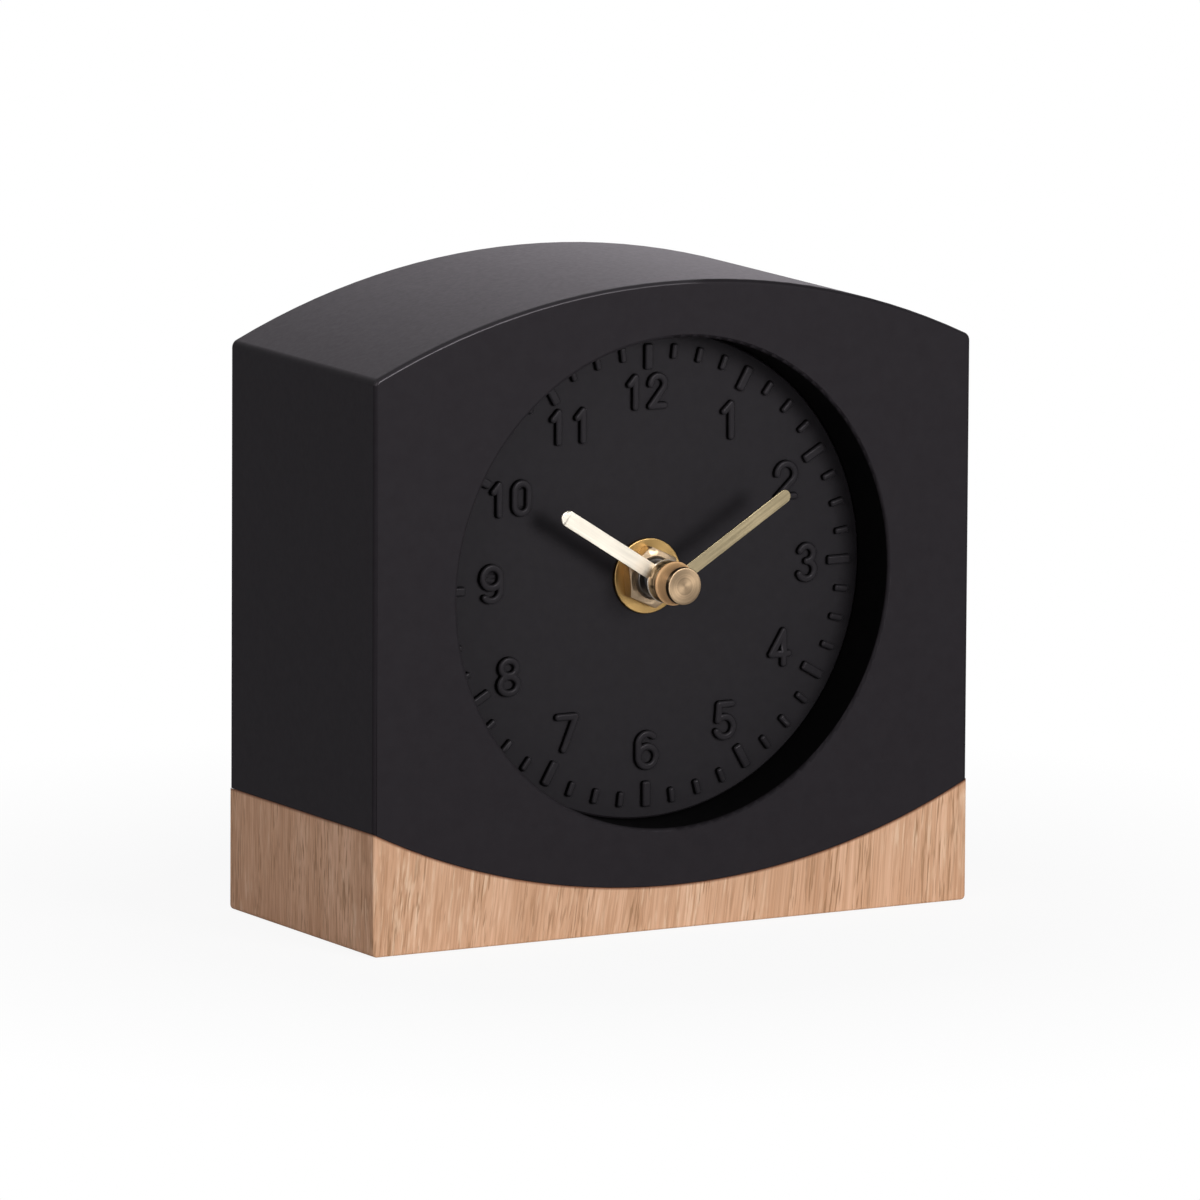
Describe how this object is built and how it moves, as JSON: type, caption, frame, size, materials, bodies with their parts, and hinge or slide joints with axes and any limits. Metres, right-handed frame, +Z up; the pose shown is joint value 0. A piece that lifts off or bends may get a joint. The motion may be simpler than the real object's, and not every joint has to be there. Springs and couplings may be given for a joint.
{
  "type": "desk clock",
  "caption": "Arched black desk clock on a hollow-curved oak base, with a recessed round dial, raised numerals, brass hands and a battery movement reached through a pocket in the back.",
  "frame": {"origin": "middle of the foot pad's underside, on the table", "axes": "+X to the right of someone reading the dial, +Y from the dial to the back, +Z up"},
  "size_m": [0.125, 0.0587, 0.12],
  "materials": {
    "case_black": "satin black lacquer on fibreboard",
    "oak": "clear matt lacquer on light oak",
    "dowel_wood": "plain beech",
    "screw_steel": "zinc plated",
    "pad_foam": "matt foam",
    "dial_black": "satin black",
    "washer_brass": "polished",
    "nut_brass": "polished",
    "bush_metal": "dark plated",
    "hour_brass": "brushed",
    "minute_brass": "brushed",
    "cap_brass": "turned",
    "gasket_rubber": "matt",
    "pipe_plastic": "matt dark grey",
    "housing_plastic": "fine moulded texture",
    "knob_plastic": "satin",
    "wheel_plastic": "natural",
    "arbor_steel": "ground",
    "magnet_ferrite": "plain",
    "stator_steel": "stamped",
    "bobbin_plastic": "natural",
    "copper_wire": "enamelled copper",
    "board_laminate": "green solder mask",
    "crystal_can": "bright",
    "chip_resin": "black resin",
    "contact_steel": "nickel plated",
    "cell_wrap": "printed wrap"
  },
  "bodies": {
    "case": {"case_body": "case_black", "oak_base": "oak", "base_dowels": "dowel_wood", "base_screws": "screw_steel", "non_slip_pad": "pad_foam", "dial_plate": "dial_black", "dial_washer": "washer_brass", "dial_nut": "nut_brass", "threaded_bush": "bush_metal", "rubber_gasket": "gasket_rubber", "movement_housing": "housing_plastic", "movement_lid": "housing_plastic", "stator_plate": "stator_steel", "coil_core": "stator_steel", "coil_bobbin": "bobbin_plastic", "coil_winding": "copper_wire", "circuit_board": "board_laminate", "quartz_crystal": "crystal_can", "control_chip": "chip_resin", "battery_contact_plus": "contact_steel", "battery_contact_minus": "contact_steel"},
    "minute_hand_group": {"minute_arbor": "arbor_steel", "minute_hand": "minute_brass", "hand_cap": "cap_brass"},
    "hour_hand_group": {"hour_wheel": "pipe_plastic", "hour_hand": "hour_brass"},
    "minute_wheel": {"minute_wheel": "wheel_plastic"},
    "setting_knob": {"set_arbor": "wheel_plastic", "set_knob": "knob_plastic"},
    "rotor": {"rotor_pinion": "wheel_plastic", "rotor_magnet": "magnet_ferrite"},
    "intermediate_wheel": {"intermediate_wheel": "wheel_plastic"},
    "second_wheel": {"second_wheel": "wheel_plastic"},
    "third_wheel": {"third_wheel": "wheel_plastic"},
    "centre_wheel": {"centre_wheel": "wheel_plastic"},
    "battery": {"battery_cell": "cell_wrap"}
  },
  "joints": [
    {"name": "minute_hand_turn", "type": "hinge", "parent": "case", "child": "minute_hand_group", "pos_m": [0, 0, 0.0642], "axis": [0, 1, 0], "continuous": true},
    {"name": "hour_hand_turn", "type": "hinge", "parent": "case", "child": "hour_hand_group", "pos_m": [0, 0, 0.0642], "axis": [0, 1, 0], "continuous": true},
    {"name": "minute_wheel_turn", "type": "hinge", "parent": "case", "child": "minute_wheel", "pos_m": [-0.006, 0, 0.0642], "axis": [0, 1, 0], "continuous": true},
    {"name": "setting_knob_turn", "type": "hinge", "parent": "case", "child": "setting_knob", "pos_m": [-0.01006, 0, 0.06959], "axis": [0, 1, 0], "continuous": true},
    {"name": "rotor_turn", "type": "hinge", "parent": "case", "child": "rotor", "pos_m": [-0.00728, 0, 0.08063], "axis": [0, 1, 0], "continuous": true},
    {"name": "intermediate_wheel_turn", "type": "hinge", "parent": "case", "child": "intermediate_wheel", "pos_m": [-0.00128, 0, 0.08063], "axis": [0, 1, 0], "continuous": true},
    {"name": "second_wheel_turn", "type": "hinge", "parent": "case", "child": "second_wheel", "pos_m": [0.00478, 0, 0.07713], "axis": [0, 1, 0], "continuous": true},
    {"name": "third_wheel_turn", "type": "hinge", "parent": "case", "child": "third_wheel", "pos_m": [0.0036, 0, 0.07043], "axis": [0, 1, 0], "continuous": true},
    {"name": "centre_wheel_turn", "type": "hinge", "parent": "case", "child": "centre_wheel", "pos_m": [0, 0, 0.0642], "axis": [0, 1, 0], "continuous": true},
    {"name": "battery_slide", "type": "slide", "parent": "case", "child": "battery", "axis": [0, 1, 0], "range_m": [0, 0.04]}
  ],
  "couplings": [
    {"joint": "hour_hand_turn", "follows": "minute_hand_turn", "ratio": 0.083333},
    {"joint": "minute_wheel_turn", "follows": "minute_hand_turn", "ratio": -0.33333},
    {"joint": "setting_knob_turn", "follows": "minute_hand_turn", "ratio": 0.66667},
    {"joint": "intermediate_wheel_turn", "follows": "rotor_turn", "ratio": -0.2},
    {"joint": "second_wheel_turn", "follows": "rotor_turn", "ratio": 0.033333},
    {"joint": "third_wheel_turn", "follows": "rotor_turn", "ratio": -0.0044444},
    {"joint": "centre_wheel_turn", "follows": "rotor_turn", "ratio": 0.00055556}
  ]
}
